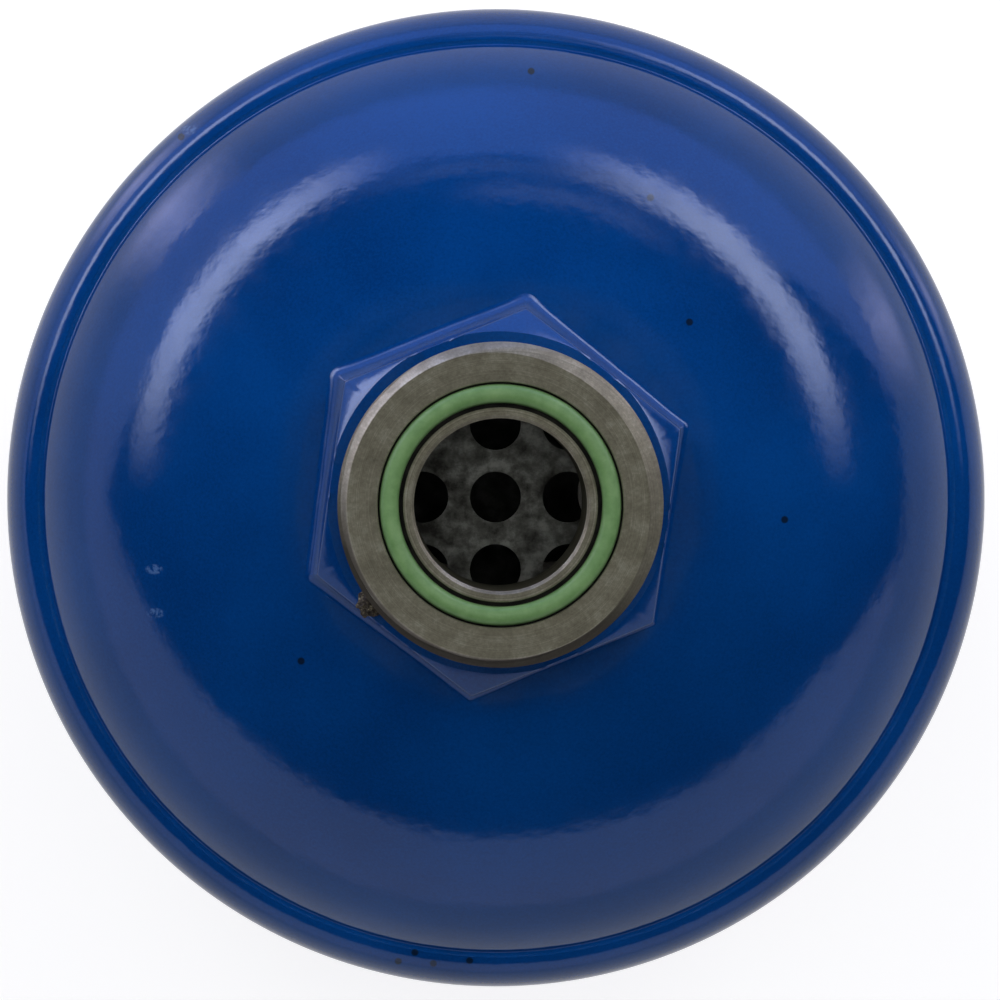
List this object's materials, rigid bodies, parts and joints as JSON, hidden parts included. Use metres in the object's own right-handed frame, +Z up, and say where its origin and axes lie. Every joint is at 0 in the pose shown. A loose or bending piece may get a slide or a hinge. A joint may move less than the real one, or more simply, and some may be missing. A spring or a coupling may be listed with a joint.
{
  "type": "filter drier",
  "caption": "Steel refrigeration filter drier: painted cylindrical shell with domed ends, hexagon face-seal fittings with O-rings, and a sprung desiccant core inside.",
  "frame": {"origin": "on the drier's axis, at the lowest point of the outlet fitting's O-ring, on which the drier stands", "axes": "+Z up along the axis, out of the inlet fitting; the inlet hexagon has one corner 21.9 degrees from +X"},
  "size_m": [0.095, 0.095, 0.2349],
  "materials": {
    "shell_paint": "gloss blue enamel, fine orange peel, a few specks and scratches",
    "weld_paint": "gloss blue enamel over a weld or braze bead",
    "fitting_steel": "bare turned steel, dull grey-green, thread and sealing face unpainted, hexagon painted blue",
    "o_ring_rubber": "green nitrile rubber, satin",
    "plate_steel": "dark oiled sheet steel",
    "spring_steel": "drawn spring wire",
    "filter_felt": "white pressed polyester felt",
    "core_ceramic": "porous moulded desiccant, sandy",
    "gasket_fibre": "pressed fibre sheet",
    "mesh_wire": "fine woven wire cloth"
  },
  "bodies": {
    "root": {"shell_tube": "shell_paint", "inlet_end_cap": "shell_paint", "outlet_end_cap": "shell_paint", "inlet_seam_weld": "weld_paint", "outlet_seam_weld": "weld_paint", "inlet_fitting": "fitting_steel", "outlet_fitting": "fitting_steel", "inlet_fitting_braze": "weld_paint", "outlet_fitting_braze": "weld_paint", "inlet_o_ring": "o_ring_rubber", "outlet_o_ring": "o_ring_rubber", "inlet_perforated_plate": "plate_steel", "pressure_plate": "plate_steel", "outlet_perforated_plate": "plate_steel", "compression_spring": "spring_steel", "inlet_filter_pad": "filter_felt", "outlet_filter_pad": "filter_felt", "core_side_seal": "filter_felt", "desiccant_core": "core_ceramic", "core_gasket": "gasket_fibre", "outlet_mesh_screen": "mesh_wire"}
  },
  "joints": []
}
